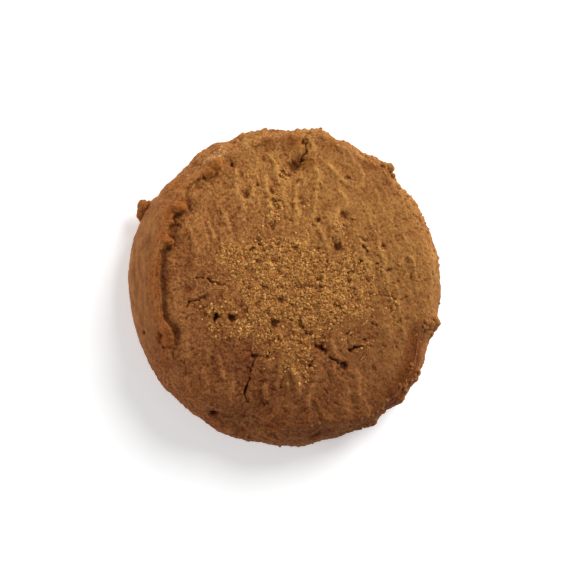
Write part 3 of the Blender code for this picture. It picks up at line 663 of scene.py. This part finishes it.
def wall_relief(place, angle):
    """Wall: streaks round its smooth left side, elsewhere winding ridges, swells and stuck-on
    knobs, and a grainy foot. Also the smooth side's share, and the pits from 0 to 1."""
    smooth_side = stretch_of_rim(angle, *SMOOTH_SIDE)
    rough_side = 1.0 - 0.75 * smooth_side
    pits = smooth_step(noise(84, place, 0.7), 0.5, 0.8)
    parts = {
        "streaks": noise(53, place, (0.9, 2.4, 0.9)), "pores": noise(54, place, 0.34),
        "small": noise(59, place, 0.6), "coarse": noise(55, place, 1.2),
        "broad": noise(64, place, 2.6), "web": worms(69, place, (1.2, 1.2, 1.7)),
        "fine web": worms(83, place, (0.65, 0.65, 0.9)),
        "weave": worms(70, place, (0.42, 0.42, 0.5)), "pits": pits, "level": 1.0,
        "knobs": knobs(77, place, 1.1), "small knobs": knobs(80, place, 0.6),
        "ruffles": noise(97, place, (0.42, 0.42, 0.6)),
    }
    shares = {
        "all round": 1.0, "rough side": rough_side, "ruffled": stretch_of_rim(angle, *RUFFLED_SIDE),
        "crumbly": np.clip(bumps(angle, CRUMBLY_SIDES), 0.0, 1.0),
        "foot": smooth_step(3.5 - place[2], 0.0, 3.0),
    }
    wall = sum(shares[where] * blend(heights, parts) for where, heights in WALL_HEIGHTS.items())
    return wall, smooth_side, pits * rough_side * (1.0 - smooth_side)


def brown_and_shade_shares(x, y, z, at):
    """How baked and shaded the dough is, and how browned, about 0 to 1. The bake-and-shade share is
    mostly painted shade: it darkens towards the front and left, on the far edge, at the lower right
    and on the lower-left wall, and it lightens the rest of the wall as painted light. It also holds
    a slow random tone and the lip's band, which is browned and carries painted shade. Browned is
    the most of strength * exp(-(distance / half width)^2) over its spots, and of the roll's and
    lip's bands, less the roll's painted shadow."""
    wall = 1.0 - at.on_top
    # Painted shade towards the front and left, plus a slow random tone
    baked = 0.5 + baked_slope(x, y) + 0.12 * noise(65, (x, y), 8.0)
    # Painted shade on the far edge, at the lower right and on the lower-left wall; painted light on
    # the rest of the wall; the lip's band is browned and shaded
    far_edge_shade = np.exp(-(at.across / 2.0) ** 2) * stretch_of_rim(at.angle, *FAR_EDGE)
    baked = baked + 0.85 * far_edge_shade + at.lip_band - 0.25 * wall
    baked = baked + 0.2 * np.exp(-((x - 13.0) ** 2 + (y + 13.0) ** 2) / 60.0)
    baked = baked + 0.35 * wall * stretch_of_rim(at.angle, *LOWER_LEFT)
    browned = np.zeros_like(x)
    for spot_x, spot_y, half_width, strength in BROWNED:
        away = np.hypot(x - spot_x, y - spot_y) / half_width
        browned = np.maximum(browned, strength * np.exp(-away ** 2))
    ragged = 0.35 * noise(85, (x, y), 0.8) + 0.2 * noise(86, (x, y, z), 0.5)
    browned = np.maximum(browned, at.band * np.clip(0.75 + 0.8 * ragged, 0.0, 1.0))
    return baked, np.maximum(browned, at.lip_band) - at.shadow


def baked_slope(x, y):
    """Painted shade: how the darkening grows towards the front and left, away from the key light.
    """
    return -0.025 * y - 0.007 * x


def ruddy_share(x, y):
    """Share of a redder, less green tint: it grows towards the front and left."""
    return 0.65 - (x + y) / 28.0


def fine_relief(points, at):
    """Relief along the normals, and the shares that the paint reads."""
    x, y, z = place = tuple(points.T)
    wall_share = 1.0 - at.on_top
    torn = crumb_share(x, y) * at.on_top
    raised, ridges, holes, seams = crust_relief(x, y)
    crumb, voids = crumb_relief(x, y)
    hollow, mounds, side_holes = flaw_depth(x, y), mound_height(x, y), wall_holes(at.angle, z)
    wall, smooth_side, wall_pits = wall_relief(place, at.angle)
    rough = np.clip(0.55 - x / 18.0, 0.0, 1.0)
    ridges = ridges * (0.08 + 0.36 * np.exp(-((x + 3.0) / 14.0) ** 2))
    whole = 1.0 - 0.8 * torn
    top = (0.9 + 0.25 * rough) * (raised * (1.0 - 0.5 * torn) + ridges)
    top = top - (0.13 * holes + 0.1 * seams) * whole + 0.02 * layers((x, y), GRAIN) + torn * crumb

    knobbly = np.maximum(at.roll, 0.75 * at.band) + 0.8 * at.lip * np.exp(-(at.across / 1.5) ** 2)
    knobbly = np.clip(knobbly, 0.0, 1.0)
    knob, small_knob = knobs(56, place, 1.05), knobs(60, place, 0.5)
    near_roll = np.clip(at.groove * 1.4, 0.0, 1.0)
    above = smooth_step(z, 6.8, 8.0)
    relief = at.on_top * top * (1.0 - 0.6 * knobbly) * (1.0 - 0.5 * near_roll) + wall_share * wall
    relief = relief + knobbly * (0.22 * knob + 0.17 * small_knob - 0.18)
    relief = relief + (mounds - hollow) * above - side_holes
    under = 0.04 * noise(55, place, (1.2, 1.2, 1.0)) * smooth_step(np.hypot(x, y), 25.0, 22.0)
    relief = np.where(at.on_base, under, relief)

    # Painted light and shade that follow the relief: paler on raised parts and knob tops, darker in
    # low ones
    tone = (at.on_top * top + wall_share * wall) / 0.2 * (1.0 - 0.5 * knobbly)
    tone = tone + knobbly * (1.3 * (knob - 0.4) + 1.6 * (small_knob - 0.35) + 0.1)
    # Painted shade in hollows: holes, seams, the crumb's voids, wall pits, side holes, cracks, pits
    # and broad hollows
    hollow_shade = at.on_top * ((0.25 * holes + 0.45 * seams) * whole + 0.3 * torn * voids)
    hollow_shade = hollow_shade + wall_share * 0.25 * wall_pits + 3.0 * side_holes
    hollow_shade = hollow_shade + (hollow / 0.6 - 0.12 + 0.6 * np.maximum(-mounds - 0.1, 0.0)) * above
    baked, browned = brown_and_shade_shares(x, y, z, at)
    shares = {"torn": torn, "raised": 0.5 + 0.5 * tone, "hollow_shade": hollow_shade, "browned": browned,
              "wall": wall_share * smooth_side, "baked": baked, "rough": rough,
              # groove: painted shadow beside the left roll and on the inner side of the lower-right
              # lip
              "groove": np.maximum(at.shadow, 0.6 * at.lip_shadow), "ruddy": ruddy_share(x, y)}
    shares = {name: np.clip(share, 0.0, 1.0) for name, share in shares.items()}
    drawn_x, drawn_y, _, _ = lie_of_dough(x, y)
    shares["lie"] = np.column_stack((drawn_x, 0.85 * drawn_y, z))
    return relief, shares


def link_object(name, data):
    """New object in the scene."""
    thing = bpy.data.objects.new(name, data)
    bpy.context.scene.collection.objects.link(thing)
    return thing


def add_mesh(name, points, faces, shares=None, smooth=True):
    """New mesh object with its place in its mesh, and for each named share a float or a place at
    each point."""
    mesh = bpy.data.meshes.new(name)
    mesh.from_pydata(points * MM, [], faces, shade_flat=not smooth)
    mesh.validate()
    for share_name, values in (shares or {}).items():
        place = values.ndim == 2
        kind, field, scale = ("FLOAT_VECTOR", "vector", MM) if place else ("FLOAT", "value", 1)
        layer = mesh.attributes.new(share_name, kind, "POINT")
        layer.data.foreach_set(field, (values * scale).astype(np.float32).ravel())
    return link_object(name, mesh)


# Paint

class Value:
    """A socket that can be used in plain arithmetic."""

    def __init__(self, paint, socket):
        self.paint, self.socket = paint, socket

    def math(self, operation, first, second, clamp=False):
        """A Math node on two numbers or sockets."""
        return self.paint.node("Math", {"operation": operation, "use_clamp": clamp},
                               {0: first, 1: second})

    def __add__(self, other):
        return self.math("ADD", self, other)

    def __sub__(self, other):
        return self.math("SUBTRACT", self, other)

    def __rsub__(self, other):
        return self.math("SUBTRACT", other, self)

    def __mul__(self, other):
        return self.math("MULTIPLY", self, other)

    __radd__ = __add__
    __rmul__ = __mul__

    def clamped(self):
        """The value held between 0 and 1."""
        return self.math("ADD", self, 0.0, clamp=True)


class Paint:
    """A material and the nodes that it is made of."""

    def __init__(self, name, roughness, specular):
        self.material = bpy.data.materials.new(name)
        self.material.use_nodes = True
        self.tree = self.material.node_tree
        self.shader = self.tree.nodes["Principled BSDF"]
        self.shader.inputs["Metallic"].default_value = 0.0
        self.shader.inputs["Roughness"].default_value = roughness
        self.shader.inputs["Specular IOR Level"].default_value = specular
        self.place = self.node("TexCoord", output="Object")

    def node(self, kind, settings=None, inputs=None, output=0):
        """A node of a kind, with its settings made first and then its sockets filled."""
        node = self.tree.nodes.new("ShaderNode" + kind)
        for name, value in (settings or {}).items():
            setattr(node, name, value)
        for name, value in (inputs or {}).items():
            self.fill(node.inputs[name], value)
        return Value(self, node.outputs[output])

    def fill(self, socket, value):
        """Link a socket to a Value, or set its constant."""
        if isinstance(value, Value):
            self.tree.links.new(value.socket, socket)
        else:
            socket.default_value = value

    def set(self, **sockets):
        """Link values to the shader's own sockets."""
        for name, value in sockets.items():
            self.fill(self.shader.inputs[name.replace("_", " ")], value)

    def attribute(self, name, output="Fac"):
        """One of the skin's shares or places."""
        return self.node("Attribute", {"attribute_name": name}, output=output)

    def grain(self, size, detail=2.0, roughness=0.6, place=None, output="Fac"):
        """Noise of about 0 to 1 with bumps of a size."""
        return self.node("TexNoise", {},
                         {"Vector": place or self.place, "Scale": 1.0 / (size * MM),
                          "Detail": detail, "Roughness": roughness}, output)

    def warped(self, place, size, push):
        """A place pushed about by a noise of a size."""
        pull = self.grain(size, 1.0, 0.5, place, "Color")
        pull = self.node("VectorMath", {"operation": "SUBTRACT"}, {0: pull, 1: (0.5,) * 3})
        return self.node("VectorMath", {"operation": "MULTIPLY_ADD"},
                         {0: pull, 1: (push * MM,) * 3, 2: place})

    def scattered(self, size, place, feature="F1", output="Distance"):
        """Random points about a size apart: the distance to the nearest or to the line between two,
        or the nearest one's own colour."""
        return self.node("TexVoronoi", {"feature": feature},
                         {"Vector": place, "Scale": 1.0 / (size * MM)}, output)

    def stretched(self, x, y, z):
        """Object coordinates with each axis drawn out."""
        return self.node("Mapping", {},
                         {"Vector": self.place, "Scale": (1 / x, 1 / y, 1 / z)})

    def mix(self, share, low, high, blend_type="MIX"):
        """Colour mix of low and high by a share."""
        return self.node("Mix", {"data_type": "RGBA", "blend_type": blend_type},
                         {0: share, 6: low, 7: high}, output=2)

    def tint(self, base, share, low, high):
        """A colour times the mix of two shares of red, green and blue."""
        return self.mix(1.0, base, self.mix(share, (*low, 1.0), (*high, 1.0)), "MULTIPLY")

    def bump(self, height, distance):
        """Bump of a distance from a height of 0 to 1."""
        self.set(Normal=self.node("Bump", {}, {"Height": height, "Distance": distance * MM}))


def colour(red, green, blue):
    """Linear colour from a 0 to 255 screen colour."""
    parts = [part / 255.0 for part in (red, green, blue)]
    linear = [part / 12.92 if part < 0.04045 else ((part + 0.055) / 1.055) ** 2.4 for part in parts]
    return (*linear, 1.0)


def dough_paint():
    """Baked dough: brown crust, paler in the open crumb, orange where an edge browned, and greyer
    on the smooth wall. Painted light and shade: paler on raised parts, dark in cracks, pits, small
    cuts and the groove beside the roll, darker towards the front; tinted redder towards the front
    and left."""
    paint = Paint("baked_cocoa_dough", 0.82, 0.12)
    torn, raised, hollow_shade, browned, wall, groove, baked, ruddy, rough = map(paint.attribute, (
        "torn", "raised", "hollow_shade", "browned", "wall", "groove", "baked", "ruddy", "rough"))
    wavy = paint.warped(paint.warped(paint.attribute("lie", "Vector"), 0.9, 0.4), 0.3, 0.12)
    broad, middle = paint.grain(5.0) - 0.5, paint.grain(1.3) - 0.5
    fine, specks = paint.grain(0.45, 3.0, 0.7), paint.grain(0.2, 2.0, 0.7)
    mottled, specked = fine - 0.5, specks - 0.5

    # Small cuts darkened with painted shade: pores, short strokes along the drag, and speckle,
    # which the bump also sinks
    pore_here = ((paint.scattered(0.7, wavy, output="Color") - 0.5) * 8.0).clamped()
    pores = ((0.24 - paint.scattered(0.7, wavy)) * 10.0).clamped() * pore_here
    stroke_here = ((paint.grain(0.5, 1.0) - 0.5) * 9.0).clamped()
    edge = paint.scattered(0.75, wavy, "DISTANCE_TO_EDGE")
    strokes = ((0.11 - edge) * 16.0).clamped() * stroke_here
    shaded_cuts = (pores + strokes + ((0.47 - fine) * 6.0).clamped() * 0.8).clamped()
    shaded_cuts = shaded_cuts * (1.0 - wall * 0.8) * (1.0 - torn * 0.6)

    # Tones of the crust, the smooth wall and the crumb, from dark at 0 to pale at 1; their raised
    # and flakes terms are painted light and shade, paler on raised parts and flake middles, darker
    # in low ones
    tangled = paint.warped(paint.place, 0.3, 0.2)
    mosaic = paint.scattered(0.34, tangled, output="Color") - 0.5
    flakes = (0.52 - paint.scattered(0.34, tangled)) * (rough * 0.25 + 0.35)
    tone = (raised - 0.5) * 0.6 + middle * 0.2 + mottled * (rough * 0.4 + 0.5) + broad * 0.4
    tone = (tone + specked * 0.4 + mosaic * 0.25 + flakes + 0.44).clamped()
    streak = paint.grain(0.8, 2.0, 0.5, paint.stretched(1, 3, 1)) - 0.5
    side_tone = (streak * 1.7 + mottled * 0.9 + specked * 0.8 + broad * 0.3 + 0.5).clamped()
    crumb_tone = (raised - 0.5) + mottled * 1.2 + specked * 0.8 + mosaic * 0.7
    crumb_tone = (crumb_tone + 0.46).clamped()

    base = paint.mix(tone, colour(122, 62, 27), colour(203, 145, 82))
    base = paint.mix(wall, base, paint.mix(side_tone, colour(122, 76, 41), colour(176, 120, 71)))
    base = paint.mix(torn, base, paint.mix(crumb_tone, colour(128, 69, 27), colour(216, 159, 84)))
    toast = paint.mix(tone, colour(104, 49, 13), colour(180, 108, 42))
    base = paint.mix((browned * 0.85).clamped(), base, toast)
    # Painted shadow in the groove beside the left roll and inside the lower-right lip
    base = paint.mix((groove * 0.42).clamped(), base, colour(84, 46, 22))
    # Painted shade in the small cuts
    base = paint.mix((shaded_cuts * (rough * 0.2 + 0.36)).clamped(), base, colour(124, 62, 24))
    # Painted shade in cracks, pits and holes: orange-brown, near black at the deepest
    base = paint.mix((hollow_shade * 1.2).clamped() * 0.75, base, colour(110, 56, 22))
    base = paint.mix(((hollow_shade - 0.75) * 2.5).clamped() * 0.8, base, colour(56, 28, 16))
    # Painted shade, with painted light on the wall: darker and redder where the bake-and-shade
    # share is high
    base = paint.tint(base, baked, (1.0, 1.0, 0.89), (0.65, 0.575, 0.56))
    base = paint.tint(base, ruddy, (0.98, 1.055, 1.03), (1.02, 0.985, 1.03))
    paint.set(Base_Color=base, Roughness=0.72 + fine * 0.25)
    paint.bump(fine * 0.4 + specks * 0.35 + flakes * 0.3 - shaded_cuts * 0.35, 0.13)
    paint.shader.inputs["Subsurface Weight"].default_value = 0.25
    paint.shader.inputs["Subsurface Radius"].default_value = (1.0, 0.45, 0.2)
    paint.shader.inputs["Subsurface Scale"].default_value = 0.3 * MM
    return paint.material


def grain_paint(name, dark, light, roughness, specular):
    """Crumb grains: each grain has its own tone, with a little mottling."""
    paint = Paint(name, roughness, specular)
    tone = (paint.attribute("tone") + (paint.grain(0.25) - 0.5) * 0.6).clamped()
    paint.set(Base_Color=paint.mix(tone, colour(*dark), colour(*light)))
    paint.bump(paint.grain(0.15, 1.0), 0.02)
    return paint.material


# Grains

def ball_points(level):
    """Points and triangles of a unit ball: an octahedron whose sides are halved a number of times
    and pushed out to the ball."""
    points = np.array([(1, 0, 0), (-1, 0, 0), (0, 1, 0), (0, -1, 0), (0, 0, 1), (0, 0, -1)], float)
    faces = np.array([(0, 2, 4), (2, 1, 4), (1, 3, 4), (3, 0, 4),
                      (2, 0, 5), (1, 2, 5), (3, 1, 5), (0, 3, 5)])
    for _ in range(level):
        sides = np.sort(np.concatenate((faces[:, :2], faces[:, 1:], faces[:, [2, 0]])), axis=1)
        unique, which = np.unique(sides, axis=0, return_inverse=True)
        ab, bc, ca = which.reshape(3, -1) + len(points)
        middles = points[unique].mean(axis=1)
        points = np.concatenate((points, middles / np.linalg.norm(middles, axis=1, keepdims=True)))
        a, b, c = faces.T
        faces = np.concatenate([np.column_stack(part) for part in
                                ((a, ab, ca), (ab, b, bc), (ca, bc, c), (ab, bc, ca))])
    return points, faces


def turned_frames(count, rng):
    """Random turns: 3 by 3 matrices from unit quaternions of four normal draws."""
    q = rng.normal(size=(count, 4))
    w, x, y, z = (q / np.linalg.norm(q, axis=1, keepdims=True)).T
    rows = ((1 - 2 * (y * y + z * z), 2 * (x * y - w * z), 2 * (x * z + w * y)),
            (2 * (x * y + w * z), 1 - 2 * (x * x + z * z), 2 * (y * z - w * x)),
            (2 * (x * z - w * y), 2 * (y * z + w * x), 1 - 2 * (x * x + y * y)))
    return np.stack([np.stack(row, axis=1) for row in rows], axis=1)


def grains_at(seats, sizes, rng, level, lumpiness, flatness):
    """Lumpy grains: a ball with each point moved in or out by up to the lumpiness, drawn out by
    random shares on its axes, turned at random, times its size, moved to its seat."""
    ball, faces = ball_points(level)
    count = len(seats)
    shape = ball[None] * (1.0 + lumpiness * rng.uniform(-1, 1, (count, len(ball), 1)))
    shape = shape * (1.0 + flatness * rng.uniform(-1, 1, (count, 1, 3)))
    shape = np.einsum("nij,nkj->nki", turned_frames(count, rng), shape)
    points = shape * sizes[:, None, None] + seats[:, None]
    joined = faces[None] + (np.arange(count) * len(ball))[:, None, None]
    return points.reshape(-1, 3), joined.reshape(-1, 3), len(ball)


def seats_on(skin, normals, weight, rng, count, sizes, sink):
    """Seats and sizes of grains: skin points drawn with a weight, sunk by a share of the size along
    the normal. A size is the smallest plus the span times t^2.5."""
    chosen = rng.choice(len(skin), count, replace=False, p=weight / weight.sum())
    sizes = sizes[0] + (sizes[1] - sizes[0]) * rng.uniform(0, 1, count) ** 2.5
    return skin[chosen] - normals[chosen] * (sizes * sink)[:, None], sizes


def finish_piece(piece, material):
    """Give a piece its paint and the body that it rides on."""
    piece.data.materials.append(material)
    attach(piece, "root")


# The cookie

def merged(points, faces, voxel, smoothing):
    """Points and triangles of one closed surface round overlapping balls: voxel remesh,
    smoothed."""
    rough = add_mesh("merging", points, faces)
    remesh = rough.modifiers.new("merge", "REMESH")
    remesh.mode, remesh.voxel_size = "VOXEL", voxel * MM
    smooth = rough.modifiers.new("smooth", "SMOOTH")
    smooth.factor, smooth.iterations = 0.5, smoothing
    rough.modifiers.new("triangles", "TRIANGULATE").quad_method = "FIXED"
    mesh = rough.evaluated_get(bpy.context.evaluated_depsgraph_get()).to_mesh()
    places = np.empty(len(mesh.vertices) * 3, np.float32)
    mesh.vertices.foreach_get("co", places)
    corners = np.empty(len(mesh.loops), np.int32)
    mesh.loops.foreach_get("vertex_index", corners)
    bpy.data.objects.remove(rough)
    return places.reshape(-1, 3) / MM, corners.reshape(-1, 3)


def stuck_lumps(name, material, seats, radii, seed, browned, merge=True):
    """Lumps of dough stuck to the skin, in its own paint: balls drawn out a little, merged where
    they are large, with knobs and noise moving each point along its normal."""
    rng = np.random.default_rng(seed)
    lumps, faces, _ = grains_at(seats, radii, rng, 3 if merge else 1, 0.0, 0.3)
    if merge:
        lumps, faces = merged(lumps, faces, 0.12, 3)
    x, y, z = lumps.T
    knob = knobs(76, (x, y, z), 0.7)
    relief = (0.16 * knob + 0.06 * noise(89, (x, y, z), 0.35) - 0.06) * (0.8 if merge else 1.0)
    lumps = lumps + point_normals(lumps, faces) * relief[:, None]
    shares = dict.fromkeys(("torn", "hollow_shade", "wall", "groove", "rough"), 0.0 * x)
    # Paler knob tops are painted light; the darkening towards the front is painted shade
    shares.update(raised=np.clip(0.4 + 0.4 * knob, 0.0, 1.0), browned=browned + 0.0 * x,
                  baked=np.clip(0.4 + baked_slope(x, y), 0.0, 1.0), lie=lumps,
                  ruddy=np.clip(ruddy_share(x, y), 0.0, 1.0))
    finish_piece(add_mesh(name, lumps, faces, shares), material)


def add_lumps(points, skin, normals, at, dough):
    """Lumps on the left roll, at the height of the nearest skin point, balls hanging on the wall,
    at its reach, and crumbs all over the crumbly sides."""
    x, y, z = skin.T
    plan_x, plan_y, radii, stand = np.array(ROLL_CRUMBS).T
    upper = np.where(points[:, 2] > 8.5, 0.0, FAR)
    near = [np.argmin(np.hypot(x - spot_x, y - spot_y) + upper)
            for spot_x, spot_y in zip(plan_x, plan_y)]
    seats = np.column_stack((plan_x, plan_y, z[near] + stand))
    stuck_lumps("roll_lumps", dough, seats, radii, 75, 0.85)

    angles, heights, radii, stand = np.array(WALL_BALLS).T
    low = np.where(at.across > 0.0, 0.0, FAR)
    near = [np.argmin(np.abs(angle_between(at.angle, angle)) * 0.45 + np.abs(z - height) + low)
            for angle, height in zip(angles, heights)]
    reach, turn = np.hypot(x, y)[near] + stand, np.radians(angles)
    seats = np.column_stack((reach * np.cos(turn), reach * np.sin(turn), heights))
    stuck_lumps("wall_balls", dough, seats, radii, 79, 0.5)

    weight = np.clip(bumps(at.angle, CRUMBLY_SIDES), 0.0, 1.0) ** 1.5
    weight = weight * smooth_step(z, 0.8, 2.0) * (at.across > -0.3)
    rng = np.random.default_rng(87)
    seats, radii = seats_on(skin, normals, weight, rng, 420, (0.16, 0.58), 0.35)
    stuck_lumps("wall_crumbs", dough, seats, radii, 88, 0.15, merge=False)


def add_grains(skin, normals, at, torn, hollow_shade):
    """The four kinds of grains, each drawn where its weight is high."""
    x, y, z = skin.T
    area = np.where((at.on_top > 0.9) & (at.across < -2.8), 1.0, 0.0)
    patchy = smooth_step(noise(71, (x, y), 1.1), -0.3, 0.6)
    crumb = area * torn ** 1.2 * (0.15 + patchy) * (1.0 - 0.9 * hollow_shade)
    away, _ = distance_to_run(x, y, PALE_RUN)
    weights = {"crumb": crumb, "strays": crumb + 0.003 * area, "heart": crumb ** 1.5,
               "far edge": (np.exp(-(away / 0.6) ** 2) + 0.00003 * area) * (z > 7.0)}
    paints = {name: grain_paint(name, *looks) for name, looks in GRAIN_PAINTS.items()}
    for name, paint, where, count, sizes, sink, seed, palest, flatness in GRAINS:
        rng = np.random.default_rng(seed)
        seats, radii = seats_on(skin, normals, weights[where], rng, count, sizes, sink)
        points, faces, each = grains_at(seats, radii, rng, 1, 0.3, flatness)
        tone = np.repeat(rng.uniform(0.0, palest, count), each)
        finish_piece(add_mesh(name, points, faces, {"tone": tone}, smooth=False), paints[paint])


def make_cookie():
    """Skin, stuck-on lumps of dough and loose-grained crumb."""
    points, faces, at = cookie_skin()
    normals = point_normals(points, faces)
    relief, shares = fine_relief(points, at)
    skin = points + normals * relief[:, None]
    skin[:, 2] = np.maximum(skin[:, 2], 0.0)
    dough = dough_paint()
    body = add_mesh("cookie_skin", skin, faces, shares)
    finish_piece(body, dough)
    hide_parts("cookie")
    add_lumps(points, skin, normals, at, dough)
    add_grains(skin, normals, at, shares["torn"], shares["hollow_shade"])


# Camera, light and floor

def direction(turn, lift):
    """Unit vector at a compass turn and a height angle."""
    turn, lift = math.radians(turn), math.radians(lift)
    flat = math.cos(lift)
    return Vector((flat * math.cos(turn), flat * math.sin(turn), math.sin(lift)))


def set_camera():
    """Camera at the photo's viewing angle: it looks at AIM from DISTANCE, tilted off straight down
    by TILT towards the compass turn TURN, with +Y up in the picture."""
    back = direction(TURN, 90.0 - TILT)
    right = Vector((0.0, 1.0, 0.0)).cross(back).normalized()
    camera = link_object("camera", bpy.data.cameras.new("camera"))
    camera.data.lens, camera.data.sensor_width, camera.data.clip_start = LENS, 36.0, 0.01
    place = Matrix((right, back.cross(right), back)).transposed().to_4x4()
    place.translation = (Vector(AIM) + back * DISTANCE) * MM
    camera.matrix_world = place
    bpy.context.scene.camera = camera


def soft_light(name, turn, lift, distance, size, watts):
    """Round area light at a compass turn and a height angle, aimed at the cookie, in metres."""
    lamp = bpy.data.lights.new(name, "AREA")
    lamp.shape, lamp.size, lamp.energy = "DISK", size, watts
    light = link_object(name, lamp)
    away = direction(turn, lift)
    light.location = away * distance
    light.rotation_euler = away.to_track_quat("Z", "Y").to_euler()


def set_stage():
    """Plain near-white floor, a soft key light from the upper right, a low one from the left, and a
    pale room."""
    corners = [(x * FLOOR_REACH, y * FLOOR_REACH, FLOOR_HEIGHT)
               for x, y in ((-1, -1), (1, -1), (1, 1), (-1, 1))]
    floor = add_mesh("floor", np.array(corners), np.array([(0, 1, 2), (0, 2, 3)]))
    paint = Paint("pale_floor", 0.9, 0.1)
    mottling = paint.grain(60.0, 1.0)
    paint.set(Base_Color=paint.mix(mottling, (0.86, 0.86, 0.86, 1.0), (0.9, 0.9, 0.9, 1.0)))
    paint.shader.inputs["Emission Color"].default_value = WHITE
    paint.shader.inputs["Emission Strength"].default_value = 0.4
    floor.data.materials.append(paint.material)
    soft_light("key", 50.0, 36.0, 0.6, 0.4, 4.5)
    soft_light("left light", 185.0, 14.0, 0.6, 0.3, 1.7)
    world = bpy.data.worlds.new("room")
    world.use_nodes = True
    room = world.node_tree.nodes["Background"].inputs
    room["Color"].default_value, room["Strength"].default_value = WHITE, 0.22
    bpy.context.scene.world = world
    bpy.context.scene.view_settings.view_transform = "Standard"


make_cookie()
set_camera()
set_stage()
